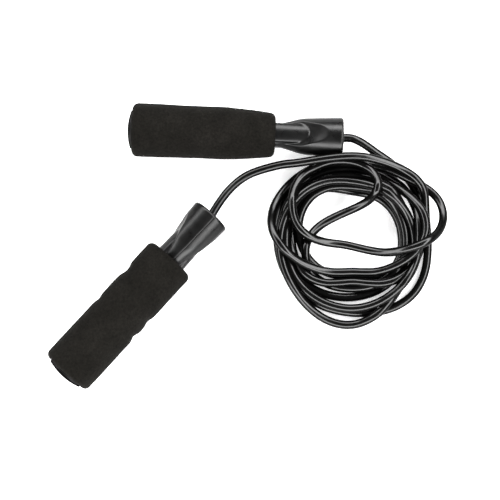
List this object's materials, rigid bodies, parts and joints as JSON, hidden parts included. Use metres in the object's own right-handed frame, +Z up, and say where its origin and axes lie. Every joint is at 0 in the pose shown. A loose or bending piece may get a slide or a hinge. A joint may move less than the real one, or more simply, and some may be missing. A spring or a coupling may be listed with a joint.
{
  "type": "jump rope",
  "caption": "Skipping rope with two foam-gripped handles, ball-bearing swivels and one long glossy cord lying in a loose coil.",
  "frame": {"origin": "on the ground, under the middle of the box around the two handles", "axes": "+Z up from the ground; +X roughly along the right handle towards its cord, +Y from the coil's low side to the right handle"},
  "size_m": [0.2787, 0.2012, 0.0376],
  "materials": {
    "foam": "fine closed-cell foam, fully matte",
    "core_plastic": "moulded, semi-gloss",
    "cord": "extruded soft vinyl, glossy",
    "bearing_steel": "ground steel",
    "ball_steel": "polished",
    "shield_steel": "pressed sheet steel",
    "cage_brass": "satin",
    "sleeve_nylon": "satin black nylon",
    "washer_steel": "zinc plated",
    "stop_alloy": "crimped, satin"
  },
  "bodies": {
    "rope": {"cord_coil": "cord", "left_cord_lead": "cord", "left_cord_end": "cord", "left_cord_stop": "stop_alloy", "left_thrust_washer": "washer_steel", "left_swivel_sleeve": "sleeve_nylon", "left_bearing_inner_ring": "bearing_steel", "right_cord_lead": "cord", "right_cord_end": "cord", "right_cord_stop": "stop_alloy", "right_thrust_washer": "washer_steel", "right_swivel_sleeve": "sleeve_nylon", "right_bearing_inner_ring": "bearing_steel"},
    "left_handle": {"left_core_shell_pegged": "core_plastic", "left_core_shell_socketed": "core_plastic", "left_foam_grip": "foam", "left_end_cap": "core_plastic", "left_bearing_outer_ring": "bearing_steel", "left_bearing_shields": "shield_steel"},
    "left_balls": {"left_bearing_balls": "ball_steel", "left_bearing_cage": "cage_brass"},
    "right_handle": {"right_core_shell_pegged": "core_plastic", "right_core_shell_socketed": "core_plastic", "right_foam_grip": "foam", "right_end_cap": "core_plastic", "right_bearing_outer_ring": "bearing_steel", "right_bearing_shields": "shield_steel"},
    "right_balls": {"right_bearing_balls": "ball_steel", "right_bearing_cage": "cage_brass"}
  },
  "joints": [
    {"name": "left_handle_spin", "type": "hinge", "parent": "rope", "child": "left_handle", "pos_m": [0.0105, 0.0214, 0.0188], "axis": [0.6717, 0.7408, 0], "continuous": true},
    {"name": "left_ball_orbit", "type": "hinge", "parent": "rope", "child": "left_balls", "pos_m": [0.0105, 0.0214, 0.0188], "axis": [0.6717, 0.7408, 0], "continuous": true},
    {"name": "right_handle_spin", "type": "hinge", "parent": "rope", "child": "right_handle", "pos_m": [0.1029, 0.0769, 0.0188], "axis": [0.9992, -0.0401, 0], "continuous": true},
    {"name": "right_ball_orbit", "type": "hinge", "parent": "rope", "child": "right_balls", "pos_m": [0.1029, 0.0769, 0.0188], "axis": [0.9992, -0.0401, 0], "continuous": true}
  ],
  "couplings": [
    {"joint": "left_ball_orbit", "follows": "left_handle_spin", "ratio": 0.6323},
    {"joint": "right_ball_orbit", "follows": "right_handle_spin", "ratio": 0.6323}
  ]
}
